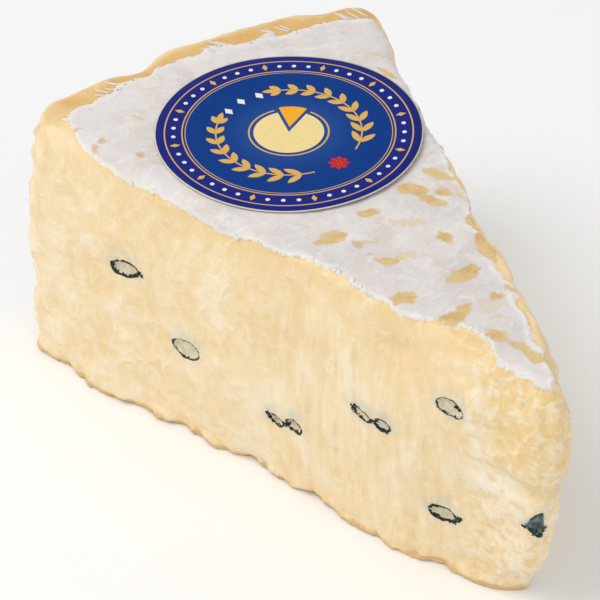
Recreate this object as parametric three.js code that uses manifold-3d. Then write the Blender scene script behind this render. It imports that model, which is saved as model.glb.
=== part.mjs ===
// A wedge cut from a wheel of soft-ripened cheese with blue pockets, and the round paper label on its rind.
// Millimetres, +Z up. The wedge stands on z = 0, with its tip towards -Y and the wheel's rim towards +Y.
// It is shaped about the wheel's own axis and then moved, so that the origin is under the middle of its box.
import * as THREE from "three";
import { mergeVertices } from "three/addons/utils/BufferGeometryUtils.js";
import Module from "manifold-3d";

// The wheel and the cut
const WHEEL_RADIUS = 116.5;
const HEIGHT = 52;
const HALF_ANGLE = THREE.MathUtils.degToRad(37.4) / 2;

// Corner radii of the wedge seen from above, and of the edge that it stands on
const TIP_RADIUS = 0.9;
const FRONT_CORNER_RADIUS = 7.5;
const BACK_CORNER_RADIUS = 6;
const FOOT_RADIUS = 1.2;

// Stations in order round the wedge: tip, back cut, back corner, rim, front corner and front cut.
// At each, belly is the swell of the side and lift moves it up, foot is the spread at the base,
// and shoulder is the radius of the top edge.
const STATIONS = [
  { belly: 4, lift: 2.2, foot: 1, shoulder: 0.8 },
  { belly: 1.8, lift: 1, foot: 0.8, shoulder: 1.4 },
  { belly: 2, lift: 1, foot: 1, shoulder: 4.5 },
  { belly: 2.5, lift: 1, foot: 1.4, shoulder: 5 },
  { belly: 2.6, lift: 1, foot: 3, shoulder: 3.5 },
  { belly: 1.8, lift: 1, foot: 0.4, shoulder: 1.6 },
];
const BACK_CUT = 0;
const BACK_CORNER = 2;
const FRONT_CORNER = 4;
const BELLY_POWER = 0.75;
const FOOT_POWER = 4;

// The knife's wander along the two cuts, over their whole height and at the foot alone:
// a sine of the distance from the tip that is zero at still and fades out at both ends
const BACK_WANDER = { depth: 1.1, still: 58, wave: -136 };
const FRONT_WANDER = { depth: 1, still: 25, wave: 180 };
const BACK_FOOT_WANDER = { depth: 0.7, still: 40, wave: 62 };
const FRONT_FOOT_WANDER = { depth: 0.9, still: 50, wave: -70 };
const WANDER_FADE = 0.12;

// Soft lumps on the sides, scallops along the foot, a dent in the rim and a nick in the tip
const LUMPS = [
  { around: 9, up: 1.1, depth: 0.5, phase: 0.6 },
  { around: 14, up: 0.7, depth: 0.4, phase: 2.1 },
];
const SCALLOPS = { around: 23, depth: 0.45, power: 8 };
const RIM_DENT = { angle: THREE.MathUtils.degToRad(96.8), width: THREE.MathUtils.degToRad(3.6), depth: 2 };
const TIP_NICK = { up: 29.4, tall: 2.4, along: 7, depth: 1.5 };

// The tip's worn underside: how far it is set back at the base, how high that reaches and how softly it turns
const NOSE_SETBACK = 8.6;
const NOSE_HEIGHT = 10.7;
const NOSE_SOFTNESS = 4;

// Slow waves of the rind: rise of each and its wavelengths along X and Y
const RIND_WAVES = [
  { rise: 0.22, x: 74, y: 118, phase: 0.9 },
  { rise: 0.18, x: -58, y: 66, phase: 2.6 },
];

// The paper label
const LABEL_RADIUS = 23.5;
const LABEL_THICKNESS = 0.35;
const LABEL_GAP = 0.3;
const LABEL_FROM_AXIS = 80;

// Blue pockets opened by the knife: distance from the tip, height, length, height of the opening and tilt
const POCKET_DEPTH = 1.3;
const FRONT_POCKETS = [
  { along: 89.7, up: 31.8, long: 7.8, high: 3.2, tilt: 0.25 },
  { along: 75.6, up: 21.1, long: 7, high: 4, tilt: 0.15 },
  { along: 53.6, up: 15.4, long: 8.4, high: 3.2, tilt: 0.07 },
  { along: 34, up: 28.5, long: 8.4, high: 3, tilt: -0.14 },
  { along: 18.2, up: 39.9, long: 6.2, high: 3.4, tilt: 0.07 },
  { along: 20, up: 13.6, long: 6.2, high: 3.6, tilt: -0.09 },
  { along: 2.8, up: 23.4, long: 6, high: 5, tilt: 0.5 },
];
const BACK_POCKETS = [
  { along: 96, up: 20, long: 7, high: 3.4, tilt: 0.2 },
  { along: 81, up: 34, long: 8.2, high: 3.4, tilt: -0.1 },
  { along: 64, up: 17.5, long: 6.6, high: 4, tilt: 0.3 },
  { along: 46, up: 30, long: 8, high: 3.2, tilt: -0.2 },
  { along: 30, up: 14, long: 6.8, high: 3.6, tilt: 0.1 },
  { along: 17, up: 35, long: 6, high: 3.6, tilt: -0.15 },
];

// Mesh steps
const CUT_STEPS = 42;
const CORNER_STEPS = 5;
const RIM_STEPS = 26;
const TIP_STEPS = 5;
const FOOT_STEPS = 2;
const SIDE_STEPS = 15;
const SHOULDER_STEPS = 3;
const TOP_STEPS = 11;
const LABEL_SIDES = 72;
const LABEL_RINGS = 5;
const POCKET_SIDES = 16;
const POCKET_RINGS = 10;

// Colours and finish
const CHEESE_MATERIAL = { color: 0xf0dcb4, roughness: 0.55, metalness: 0 };
const LABEL_MATERIAL = { color: 0x20408c, roughness: 0.4, metalness: 0 };

const { lerp, smoothstep } = THREE.MathUtils;
const RIGHT_CUT = Math.PI / 2 - HALF_ANGLE;
const LEFT_CUT = Math.PI / 2 + HALF_ANGLE;
const BACK_NORMAL = -HALF_ANGLE;
const FRONT_NORMAL = Math.PI + HALF_ANGLE;

// Where the round of a rim corner meets its cut and how far it turns from it, about the wheel's axis
function rimCorner(radius) {
  const reach = WHEEL_RADIUS - radius;
  const turn = Math.asin(radius / reach);
  return { turn, along: reach * Math.cos(turn), reach };
}

const BACK_END = rimCorner(BACK_CORNER_RADIUS);
const FRONT_END = rimCorner(FRONT_CORNER_RADIUS);
const TIP_START = TIP_RADIUS / Math.tan(HALF_ANGLE);

// A point of the outline: its place counts stations from the tip, along is its distance from the tip on a cut
function outlinePoint(x, y, normalAngle, place, along = 0) {
  return { x, y, nx: Math.cos(normalAngle), ny: Math.sin(normalAngle), place, along };
}

function backCutPoint(along) {
  const place = BACK_CUT + (2 * (along - TIP_START)) / (BACK_END.along - TIP_START);
  return outlinePoint(along * Math.cos(RIGHT_CUT), along * Math.sin(RIGHT_CUT), BACK_NORMAL, place, along);
}

function frontCutPoint(along) {
  const place = FRONT_CORNER + (2 * (FRONT_END.along - along)) / (FRONT_END.along - TIP_START);
  return outlinePoint(along * Math.cos(LEFT_CUT), along * Math.sin(LEFT_CUT), FRONT_NORMAL, place, along);
}

function arcPoint(centreAngle, centreReach, radius, angle, place) {
  const x = centreReach * Math.cos(centreAngle) + radius * Math.cos(angle);
  const y = centreReach * Math.sin(centreAngle) + radius * Math.sin(angle);
  return outlinePoint(x, y, angle, place);
}

// The outline from above, anticlockwise from the tip: back cut, rim, front cut and the round of the tip
function outline() {
  const rimStart = RIGHT_CUT + BACK_END.turn;
  const rimEnd = LEFT_CUT - FRONT_END.turn;
  const tipReach = TIP_RADIUS / Math.sin(HALF_ANGLE);
  const points = [];
  const add = (count, make) => {
    for (let i = 0; i < count; i++) points.push(make(i / count));
  };
  const backRound = (t) => {
    const angle = lerp(BACK_NORMAL, rimStart, t);
    return arcPoint(rimStart, BACK_END.reach, BACK_CORNER_RADIUS, angle, BACK_CORNER);
  };
  const rim = (t) => {
    const place = lerp(BACK_CORNER, FRONT_CORNER, t);
    return arcPoint(0, 0, WHEEL_RADIUS, lerp(rimStart, rimEnd, t), place);
  };
  const frontRound = (t) => {
    const angle = lerp(rimEnd, FRONT_NORMAL, t);
    return arcPoint(rimEnd, FRONT_END.reach, FRONT_CORNER_RADIUS, angle, FRONT_CORNER);
  };
  const tipRound = (t) => {
    const angle = lerp(FRONT_NORMAL, 2 * Math.PI + BACK_NORMAL, t);
    return arcPoint(Math.PI / 2, tipReach, TIP_RADIUS, angle, BACK_CUT);
  };
  add(CUT_STEPS, (t) => backCutPoint(lerp(TIP_START, BACK_END.along, t)));
  add(CORNER_STEPS, backRound);
  add(RIM_STEPS, rim);
  add(CORNER_STEPS, frontRound);
  add(CUT_STEPS, (t) => frontCutPoint(lerp(FRONT_END.along, TIP_START, t)));
  add(TIP_STEPS, tipRound);
  return points;
}

// A station's value, blended smoothly from one station to the next
function atStation(key, place) {
  const index = Math.floor(place) % STATIONS.length;
  const next = (index + 1) % STATIONS.length;
  return lerp(STATIONS[index][key], STATIONS[next][key], smoothstep(place % 1, 0, 1));
}

function wander(point, onBack, onFront) {
  if (point.along === 0) return 0;
  const cut = point.place < BACK_CORNER ? onBack : onFront;
  const share = (point.place % 2) / 2;
  const fade = smoothstep(share, 0, WANDER_FADE) * smoothstep(1 - share, 0, WANDER_FADE);
  return cut.depth * fade * Math.sin((2 * Math.PI * (point.along - cut.still)) / cut.wave);
}

function bump(distance, width) {
  return Math.exp(-((distance / width) ** 2));
}

function rimDent(point) {
  if (point.place < BACK_CORNER || point.place > FRONT_CORNER) return 0;
  return -RIM_DENT.depth * bump(Math.atan2(point.y, point.x) - RIM_DENT.angle, RIM_DENT.width);
}

function tipNick(point, z) {
  const fromTip = Math.hypot(point.x, point.y);
  return -TIP_NICK.depth * bump(z - TIP_NICK.up, TIP_NICK.tall) * bump(fromTip, TIP_NICK.along);
}

function lumps(point, share) {
  const turn = (2 * Math.PI * point.place) / STATIONS.length;
  const rise = Math.PI * share;
  let sum = 0;
  for (const { around, up, depth, phase } of LUMPS) {
    sum += depth * Math.sin(around * turn + phase) * Math.sin(up * rise + phase);
  }
  return sum + SCALLOPS.depth * Math.sin(SCALLOPS.around * turn) * (1 - share) ** SCALLOPS.power;
}

// How far the side stands out from the outline at a height
function swell(point, z) {
  const share = z / HEIGHT;
  const lifted = share ** atStation("lift", point.place);
  const belly = atStation("belly", point.place) * Math.sin(Math.PI * lifted) ** BELLY_POWER;
  const footSpread = atStation("foot", point.place) + wander(point, BACK_FOOT_WANDER, FRONT_FOOT_WANDER);
  const foot = footSpread * (1 - share) ** FOOT_POWER;
  const cut = wander(point, BACK_WANDER, FRONT_WANDER);
  return belly + foot + cut + lumps(point, share) + rimDent(point) + tipNick(point, z);
}

function rindWave(x, y) {
  let sum = 0;
  for (const wave of RIND_WAVES) {
    sum += wave.rise * Math.sin(2 * Math.PI * (x / wave.x + y / wave.y) + wave.phase);
  }
  return sum;
}

// Pushes the tip back near the base, by a soft maximum along Y
function wornNose(y, z) {
  const nose = NOSE_SETBACK * (1 - (z / NOSE_HEIGHT) ** 2);
  return (y + nose + Math.hypot(y - nose, NOSE_SOFTNESS)) / 2;
}

function sidePoint(point, z, inset = 0) {
  const out = swell(point, z) - inset;
  const x = point.x + point.nx * out;
  const y = point.y + point.ny * out;
  return new THREE.Vector3(x, wornNose(y, z), z + (rindWave(x, y) * z) / HEIGHT);
}

// The rings of the side for one point of the outline, from the base up over the shoulder
function sideColumn(point) {
  const column = [];
  const shoulder = atStation("shoulder", point.place);
  for (let i = 0; i < FOOT_STEPS; i++) {
    const turn = (i / FOOT_STEPS) * (Math.PI / 2);
    column.push(sidePoint(point, FOOT_RADIUS * (1 - Math.cos(turn)), FOOT_RADIUS * (1 - Math.sin(turn))));
  }
  for (let i = 0; i < SIDE_STEPS; i++) {
    column.push(sidePoint(point, lerp(FOOT_RADIUS, HEIGHT - shoulder, i / SIDE_STEPS)));
  }
  for (let i = 0; i <= SHOULDER_STEPS; i++) {
    const turn = (i / SHOULDER_STEPS) * (Math.PI / 2);
    const z = HEIGHT - shoulder * (1 - Math.sin(turn));
    column.push(sidePoint(point, z, shoulder * (1 - Math.cos(turn))));
  }
  return column;
}

// The top of a column runs on over the rind towards the middle of the label
function topColumn(edge) {
  const column = [];
  for (let i = 1; i < TOP_STEPS; i++) {
    const x = lerp(edge.x, 0, i / TOP_STEPS);
    const y = lerp(edge.y, LABEL_FROM_AXIS, i / TOP_STEPS);
    column.push(new THREE.Vector3(x, y, HEIGHT + rindWave(x, y)));
  }
  return column;
}

// Closes columns of points, side by side round a shape, between a first and a last pole
function closedMesh(columns, first, last) {
  const rings = columns[0].length;
  const vertices = [...columns.flat(), first, last];
  const firstIndex = vertices.length - 2;
  const lastIndex = vertices.length - 1;
  const triangles = [];
  columns.forEach((_, i) => {
    const here = i * rings;
    const there = ((i + 1) % columns.length) * rings;
    triangles.push(firstIndex, there, here);
    for (let j = 0; j < rings - 1; j++) {
      triangles.push(here + j, there + j, there + j + 1);
      triangles.push(here + j, there + j + 1, here + j + 1);
    }
    triangles.push(here + rings - 1, there + rings - 1, lastIndex);
  });
  const geometry = new THREE.BufferGeometry().setFromPoints(vertices);
  geometry.setIndex(triangles);
  return geometry;
}

function wedgeGeometry() {
  const columns = outline().map((point) => {
    const side = sideColumn(point);
    return [...side, ...topColumn(side.at(-1))];
  });
  const base = new THREE.Vector3(0, LABEL_FROM_AXIS, 0);
  const crown = new THREE.Vector3(0, LABEL_FROM_AXIS, HEIGHT + rindWave(0, LABEL_FROM_AXIS));
  return closedMesh(columns, base, crown);
}

// A pocket is a flattened ball sunk into the cut, its long way along the cut
function pocketGeometry(pocket, point) {
  const geometry = new THREE.SphereGeometry(1, POCKET_SIDES, POCKET_RINGS);
  geometry.deleteAttribute("normal");
  geometry.deleteAttribute("uv");
  const normal = new THREE.Vector3(point.nx, point.ny, 0);
  const up = new THREE.Vector3(0, 0, 1);
  const along = new THREE.Vector3().crossVectors(up, normal);
  const centre = sidePoint(point, pocket.up);
  geometry.applyMatrix4(new THREE.Matrix4().makeScale(pocket.long / 2, pocket.high / 2, POCKET_DEPTH));
  geometry.applyMatrix4(new THREE.Matrix4().makeRotationZ(pocket.tilt));
  geometry.applyMatrix4(new THREE.Matrix4().makeBasis(along, up, normal).setPosition(centre));
  return mergeVertices(geometry);
}

const wasm = await Module();
wasm.setup();

function toSolid(geometry) {
  const vertProperties = new Float32Array(geometry.attributes.position.array);
  const triVerts = new Uint32Array(geometry.index.array);
  return new wasm.Manifold(new wasm.Mesh({ numProp: 3, vertProperties, triVerts }));
}

function toGeometry(solid) {
  const mesh = solid.getMesh();
  const geometry = new THREE.BufferGeometry();
  geometry.setAttribute("position", new THREE.BufferAttribute(mesh.vertProperties, mesh.numProp));
  geometry.setIndex(new THREE.BufferAttribute(mesh.triVerts, 1));
  geometry.computeVertexNormals();
  return geometry;
}

function cheeseGeometry() {
  const pockets = [
    ...FRONT_POCKETS.map((pocket) => pocketGeometry(pocket, frontCutPoint(pocket.along))),
    ...BACK_POCKETS.map((pocket) => pocketGeometry(pocket, backCutPoint(pocket.along))),
  ];
  let solid = toSolid(wedgeGeometry());
  for (const pocket of pockets) solid = solid.subtract(toSolid(pocket));
  return toGeometry(solid);
}

// The label is a thin disc that follows the rind's waves at a small gap
function labelGeometry() {
  const onRind = (x, y, lift) => new THREE.Vector3(x, y, HEIGHT + rindWave(x, y) + LABEL_GAP + lift);
  const columns = [];
  for (let i = 0; i < LABEL_SIDES; i++) {
    const angle = (2 * Math.PI * i) / LABEL_SIDES;
    const spoke = (share, lift) => {
      const reach = LABEL_RADIUS * share;
      return onRind(reach * Math.cos(angle), LABEL_FROM_AXIS + reach * Math.sin(angle), lift);
    };
    const under = [];
    const over = [];
    for (let j = 1; j <= LABEL_RINGS; j++) {
      under.push(spoke(j / LABEL_RINGS, 0));
      over.unshift(spoke(j / LABEL_RINGS, LABEL_THICKNESS));
    }
    columns.push([...under, ...over]);
  }
  return closedMesh(columns, onRind(0, LABEL_FROM_AXIS, 0), onRind(0, LABEL_FROM_AXIS, LABEL_THICKNESS));
}

function namedMesh(name, geometry, material) {
  const mesh = new THREE.Mesh(geometry, new THREE.MeshStandardMaterial(material));
  mesh.name = name;
  return mesh;
}

const cheese = namedMesh("cheese", cheeseGeometry(), CHEESE_MATERIAL);
const label = namedMesh("label", labelGeometry(), LABEL_MATERIAL);

const group = new THREE.Group();
group.add(cheese, label);
const middle = new THREE.Box3().setFromObject(group).getCenter(new THREE.Vector3());
group.position.set(-middle.x, -middle.y, 0);

export default group;
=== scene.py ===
import itertools
from math import asin, cos, hypot, pi, radians, sin, tan

import bmesh
import bpy
import numpy as np
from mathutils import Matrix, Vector
from mathutils.bvhtree import BVHTree


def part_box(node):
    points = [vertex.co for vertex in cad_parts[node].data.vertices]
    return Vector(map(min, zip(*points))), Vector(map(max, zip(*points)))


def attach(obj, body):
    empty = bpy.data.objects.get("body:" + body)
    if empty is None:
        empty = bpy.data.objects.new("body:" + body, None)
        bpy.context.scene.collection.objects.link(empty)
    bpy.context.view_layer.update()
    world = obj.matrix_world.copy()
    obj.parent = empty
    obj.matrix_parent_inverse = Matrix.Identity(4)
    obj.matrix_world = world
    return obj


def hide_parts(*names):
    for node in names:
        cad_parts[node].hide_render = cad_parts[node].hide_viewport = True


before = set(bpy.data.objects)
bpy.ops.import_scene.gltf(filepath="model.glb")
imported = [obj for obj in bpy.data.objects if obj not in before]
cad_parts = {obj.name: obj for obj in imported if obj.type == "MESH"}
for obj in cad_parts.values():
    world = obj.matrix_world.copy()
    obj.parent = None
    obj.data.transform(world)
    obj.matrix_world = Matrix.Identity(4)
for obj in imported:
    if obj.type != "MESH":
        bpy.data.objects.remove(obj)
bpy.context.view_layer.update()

# The wedge is shaped in millimetres about the wheel's axis, by the sizes of its solid but for a finer tip,
# and then moved to the frame and turned to metres.
MM = 0.001

# The wheel and the cut
WHEEL_RADIUS = 116.5
HEIGHT = 52.0
HALF_ANGLE = radians(37.4) / 2
TIP_RADIUS = 0.9
FRONT_CORNER_RADIUS = 7.5
BACK_CORNER_RADIUS = 6.0
FOOT_RADIUS = 1.2

# Stations round the wedge: tip, back cut, back corner, rim, front corner and front cut
STATION_COUNT = 6
BELLY = np.array([4.0, 1.8, 2.0, 2.5, 2.6, 1.8])
LIFT = np.array([2.2, 1.0, 1.0, 1.0, 1.0, 1.0])
FOOT = np.array([1.0, 0.8, 1.0, 1.4, 3.0, 0.4])
SHOULDER = np.array([0.25, 1.4, 4.5, 5.0, 3.5, 1.6])
BACK_CORNER = 2.0
FRONT_CORNER = 4.0
BELLY_POWER = 0.75
FOOT_POWER = 4

# The knife's wander on each cut: depth, distance from the tip where it is zero, wavelength
BACK_WANDER = (1.1, 58.0, -136.0)
FRONT_WANDER = (1.0, 25.0, 180.0)
BACK_FOOT_WANDER = (0.7, 40.0, 62.0)
FRONT_FOOT_WANDER = (0.9, 50.0, -70.0)
WANDER_FADE = 0.12

# Soft lumps (times around, times up, depth, phase), scallops of the foot, dent of the rim, nick and worn tip
LUMPS = [(9, 1.1, 0.5, 0.6), (14, 0.7, 0.4, 2.1)]
SCALLOP_COUNT = 23
SCALLOP_DEPTH = 0.45
SCALLOP_POWER = 8
DENT_ANGLE = radians(96.8)
DENT_WIDTH = radians(3.6)
DENT_DEPTH = 2.0
NICK_UP = 30.2
NICK_TALL = 2.1
NICK_ALONG = 7.0
NICK_DEPTH = 2.1
NOSE_SETBACK = 8.6
NOSE_HEIGHT = 10.7
NOSE_SOFTNESS = 4.0
NOSE_SKEW = 0.7

# Slow waves of the rind: rise, wavelengths along X and Y, phase
RIND_WAVES = [(0.22, 74.0, 118.0, 0.9), (0.18, -58.0, 66.0, 2.6)]

# The label
LABEL_RADIUS = 23.5
LABEL_FROM_AXIS = 80.0
LABEL_UNDERSIDE = 0.24
LABEL_THICKNESS = 0.18
LABEL_CURL = 0.45
LABEL_CURL_TOWARDS = radians(-35)
LABEL_TURN = radians(11)

# Mesh steps
BACK_STEPS = 150
CORNER_STEPS = 12
RIM_STEPS = 92
FRONT_STEPS = 236
TIP_STEPS = 20
FOOT_STEPS = 4
SIDE_STEPS = 104
SHOULDER_STEPS = 8
TOP_STEPS = 60
UNDER_LABEL_STEPS = 8
UNDER_LABEL_SHARE = 0.74
BASE_STEPS = 6
LABEL_SIDES = 180
LABEL_RINGS = 16

# Camera: turn and height of view in degrees, distance and target in millimetres about the wheel's axis
CAMERA_AZIMUTH = radians(-31.549)
CAMERA_ELEVATION = radians(39.12)
CAMERA_DISTANCE = 442.656
CAMERA_TARGET = (-5.813, 66.789, 25.876)
CAMERA_LENS = 150
CAMERA_SENSOR = 36

# Light and floor in metres and watts: place, size and power of each lamp, the point they face, and the sky
KEY_LIGHT = ((-0.56, 0.22, 0.88), 0.8, 5.2)
FILL_LIGHT = ((0.1, -0.95, 0.6), 0.9, 1.5)
LIGHT_TARGET = (0.0, 0.0, 0.025)
SKY_STRENGTH = 0.62
FLOOR_HALF = 3.0

RIGHT_CUT = pi / 2 - HALF_ANGLE
LEFT_CUT = pi / 2 + HALF_ANGLE
BACK_NORMAL = -HALF_ANGLE
FRONT_NORMAL = pi + HALF_ANGLE
TIP_START = TIP_RADIUS / tan(HALF_ANGLE)
CORNER_FACING = radians(148.5)

# The white rind's edge, as distance from the tip and millimetres in from the cut, below zero down the cut
FRONT_RIND_EDGE = [
    (0, -1.0), (6, -1.7), (11, -1.2), (12.5, 0.3), (15, 2.1), (19, 2.4), (23, 0.8), (27, -0.8), (31, -2.0),
    (36, -0.6), (46, 0.3), (52, -1.4), (60, -1.8), (66, -3.4), (80, -3.4), (92, -3.2), (98, -1.8),
    (102, -0.5), (107, 2.9), (112, 3.6),
]
BACK_RIND_EDGE = [
    (0, 0.2), (10, 0.3), (20, -0.1), (30, 0.6), (36, -0.1), (45, 0.9), (52, -0.2), (60, 0.4), (70, -0.3),
    (85, -0.1), (100, 0.0), (112, 1.4),
]
RIM_RIND_RADIUS = 109.4
RIM_BAND_DROP = 7.5
FOOT_RIND_HEIGHT = 0.7
BACK_NOTCHES = (27.5, 40.8, 59.6, 83.0)
NOTCH_DEPTH = 0.45
NOTCH_WIDTH = 1.6
RIND_THICKNESS = 0.28
LIP_HEIGHT = 0.16
PATCH_DEPTH = 0.16

# White flakes across the bare rim, by degrees from the middle of the wedge
FLAKE_ANGLES = (-10.8, 1.2, 7.8, 15.4)

# Bare patches on the rind: x, y, length, width and turn in degrees
PATCHES = [
    (-10, 50.5, 6, 3.5, 0), (-0.6, 53.4, 4.5, 2.4, -15), (9.5, 55, 5, 3.5, -25), (15.4, 56.8, 7, 2.4, -60),
    (13.4, 52, 3, 1.8, -45), (10.6, 50.8, 5.5, 2.5, -45), (-4.6, 40.2, 5, 2, -40), (6.6, 41, 3.4, 2.4, -50),
    (3.5, 31.5, 7, 3.6, 5), (-8.2, 30.8, 5.4, 2.8, -20), (-4.5, 22.6, 11, 2.7, 25), (5, 23.8, 2.8, 2.5, 0),
    (-0.5, 15.5, 4, 3, -60), (0.5, 11.5, 4, 2, -90), (1, 7.5, 4.5, 2, -75), (13.2, 42, 5, 2.4, -100),
    (11.2, 35, 9, 3.4, -100), (8.5, 24.5, 2.5, 1.5, -75), (25, 86, 4.5, 1.5, -80),
]
FAINT_PATCHES = [
    (3.5, 47.5, 5.5, 2.5, -25), (-4.5, 46, 3, 2, -25), (-1, 39.5, 4, 2, -25), (15.5, 50, 5, 2, -105),
    (26, 92, 3.5, 1.5, -40), (-20.5, 98, 2.5, 1.5, -40), (2.5, 18.5, 2, 1, -20),
]
RUSTY_FLECKS = [
    (-7, 46.5, 1.5, 1.3, 0), (-6.5, 43.5, 1.4, 1, -35), (-31.5, 100.5, 1.6, 1.2, 25),
    (-29, 94.5, 1.8, 1.6, 0), (-31, 94, 1.6, 1.2, -35), (-25.5, 87.5, 1.7, 1.5, 0), (25, 102, 0.9, 0.9, 0),
]

# Rings of mould round the pockets: distance from the tip, height, length, width, rise in degrees, line width
FRONT_LOOPS = [
    (90.0, 31.6, 6.5, 2.9, 14, 0.3), (75.6, 21.0, 6.5, 3.7, 8, 0.15), (55.6, 15.3, 3.4, 1.9, -12, 0.3),
    (51.5, 16.0, 3.4, 2.5, -18, 0.26), (36.1, 28.4, 4.1, 1.7, -12, 0.28), (31.7, 28.3, 2.9, 2.1, -15, 0.26),
    (18.2, 39.9, 5.8, 3.0, 4, 0.15), (20.2, 13.5, 5.1, 3.0, -3, 0.32),
]
BACK_LOOPS = [
    (96.0, 20.0, 6.4, 3.0, 10, 0.3), (82.6, 34.2, 4.0, 2.2, -8, 0.3), (78.6, 34.0, 3.2, 2.4, 12, 0.26),
    (64.0, 17.5, 6.0, 3.4, 15, 0.18), (46.0, 30.0, 7.0, 2.8, -10, 0.3), (30.0, 14.0, 6.0, 3.2, 6, 0.3),
    (17.0, 35.0, 5.4, 3.0, -8, 0.2),
]
# Solid knots of mould: distance from the tip, height, radius
FRONT_KNOTS = [
    (86.3, 32.5, 0.5), (85.7, 31.9, 0.35), (89.0, 32.9, 0.35), (53.6, 15.5, 0.45), (57.3, 15.9, 0.4),
    (33.7, 28.4, 0.5), (37.9, 29.1, 0.45), (16.9, 40.4, 0.8), (17.6, 13.5, 0.5),
    (17.0, 13.9, 0.35), (18.4, 12.4, 0.4), (3.3, 22.3, 0.4), (1.0, 21.5, 0.5),
]
BACK_KNOTS = [(93.0, 20.6, 0.5), (80.5, 34.0, 0.5), (42.6, 29.4, 0.45), (27.2, 14.2, 0.5), (14.6, 34.8, 0.6)]
# The open pocket at the tip
TIP_POCKET = [(3.2, 22.4), (0.3, 20.9), (-0.3, 23.5), (0.0, 26.8)]
# A distance from anything that counts as clear of it
FAR = 40.0
POCKET_SINK = 0.7
TIP_POCKET_SINK = 1.2
# The stain round a pocket: how far it sits above, how much longer and higher it is, and how far it fades
HALO_UP = 0.8
HALO_LONGER = 1.0
HALO_HIGHER = 1.5
HALO_FADE = 1.1

# How far a side has to face a cut, the rim, the tip or the front corner to count: start and width of a cosine
CUT_TURN = (0.35, 0.5)
RIM_TURN = (0.2, 0.5)
RIM_FACE_TURN = (0.6, 0.3)
TIP_TURN = (0.4, 0.4)
CORNER_TURN = (0.7, 0.25)

# Zones of the paste: where the knife dragged it and where it crumbles, each as an end and a width
DRAG_FROM = (12, 10)
DRAG_TO = (66, 16)
DRAG_TOP = (47, 6)
CRUMB_TO = (22, 12)
# Soft mounds on a cut: height, distance from the tip, half length, height above the base, half height
PALE_SPOT = (1.0, 8.5, 7.0, 26.5, 5.5)
PALE_STRIPE = (0.7, 13.2, 1.6, 34.0, 8.0)
RIDGE = (0.6, 13.5, 1.4, 40, 7.0)
SCOOP = (-1.1, 30.5, 5.0, 44.6, 3.0)
# Where small relief fades out towards the worn nose
NOSE_FADE = (14.0, 6.0)

# Unevenness: depth and size in millimetres, seed, layers and stretch
UNEVEN = {
    "rind edge": (0.95, 4.0, 11, 4),
    "rim edge": (1.5, 5.0, 17, 4),
    "rim band": (2.0, 6.0, 19, 3),
    "patches across": (0.65, 2.8, 31, 3),
    "patches away": (0.65, 2.8, 37, 3),
    "hidden patches": (6.0, 7.0, 41, 2),
    "pockets": (0.2, 1.6, 43, 2),
    "swells": (0.3, 9.0, 51, 2),
    "smears": (1.0, 4.2, 53, 3, (1.0, 1.0, 1.5)),
    "drag": (0.26, 1.7, 57, 2, (1.0, 1.0, 7.0)),
    "crumble": (0.36, 2.6, 61, 3),
    "felt": (0.12, 8.0, 71, 4),
    "crust": (0.12, 4.0, 73, 2),
    "foot": (0.9, 2.2, 79, 3),
    "corner": (0.85, 4.6, 83, 3),
    "knobs": (1.0, 3.8, 89, 3),
}
MARK_NAMES = "rind bare faint rusty crust drag crumb pale hollow ink stain tip_pocket".split()

# Crumbs of mould, flakes and crumbs of rind
MOULD_PER_MM = 5.0
MOULD_STRAY = 0.09
MOULD_GAPS = 0.2
KNOT_CRUMBS = 9
FLAKES_IN_GROUP = 4
FLAKE_STEP = 0.62
FLAKE_START = (108.3, 109.6)
FLAKE_LENGTH = (2.0, 4.2)
FLAKE_LEAN = (0.7, 1.3)
FLAKE_WIDTH = (0.4, 0.75)
FLAKE_THICKNESS = 0.12
EDGE_FLAKES = 90
EDGE_FLAKE_RADIUS = (0.2, 0.5)
EDGE_FLAKE_FLATNESS = 0.09

# Print on the label
BAND_MARKS = 48
BAND_REACH = 0.86 * LABEL_RADIUS
SPRIG_REACH = 12.8
ROSETTE_PETALS = 8


def smooth(value):
    value = np.clip(value, 0.0, 1.0)
    return value * value * (3.0 - 2.0 * value)


def rises(value, start, width):
    return smooth((value - start) / width)


def falls(value, end, width):
    return smooth((end - value) / width)


def bump(distance, width):
    return np.exp(-((distance / width) ** 2))


def mound(along, z, height, middle, long, up, tall):
    return height * bump(np.hypot((along - middle) / long, (z - up) / tall), 1.0)


# Random fields, the same on every run
NOISE_CELLS = 32
NOISE_TURN = np.array([[0.36, 0.48, -0.80], [-0.80, 0.60, 0.0], [0.48, 0.64, 0.60]])


def noise(points, size, seed, stretch=(1.0, 1.0, 1.0)):
    """A smooth field from -1 to 1 with features of about a given size."""
    table = np.random.default_rng(seed).uniform(-1.0, 1.0, (NOISE_CELLS,) * 3)
    place = (points / np.array(stretch)) @ NOISE_TURN / size
    low = np.floor(place).astype(int)
    share = smooth(place - low)
    total = np.zeros(points.shape[:-1])
    for corner in itertools.product((0, 1), repeat=3):
        index = tuple(np.moveaxis((low + corner) % NOISE_CELLS, -1, 0))
        weight = np.where(np.array(corner, bool), share, 1.0 - share).prod(axis=-1)
        total += weight * table[index]
    return total


def layered_noise(points, size, seed, layers=3, stretch=(1.0, 1.0, 1.0)):
    total = 0.0
    for layer in range(layers):
        total = total + noise(points, size / 2**layer, seed + layer, stretch) / 2**layer
    return total


def uneven(points, kind):
    depth, *pattern = UNEVEN[kind]
    return depth * layered_noise(points, *pattern)


# The wedge's surface
def rim_corner(radius):
    reach = WHEEL_RADIUS - radius
    turn = asin(radius / reach)
    return reach, turn, reach * cos(turn)


def arc(centre_angle, centre_reach, radius, angles, place):
    x = centre_reach * cos(centre_angle) + radius * np.cos(angles)
    y = centre_reach * sin(centre_angle) + radius * np.sin(angles)
    return np.stack([x, y, angles, place + 0 * angles, 0 * angles])


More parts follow.
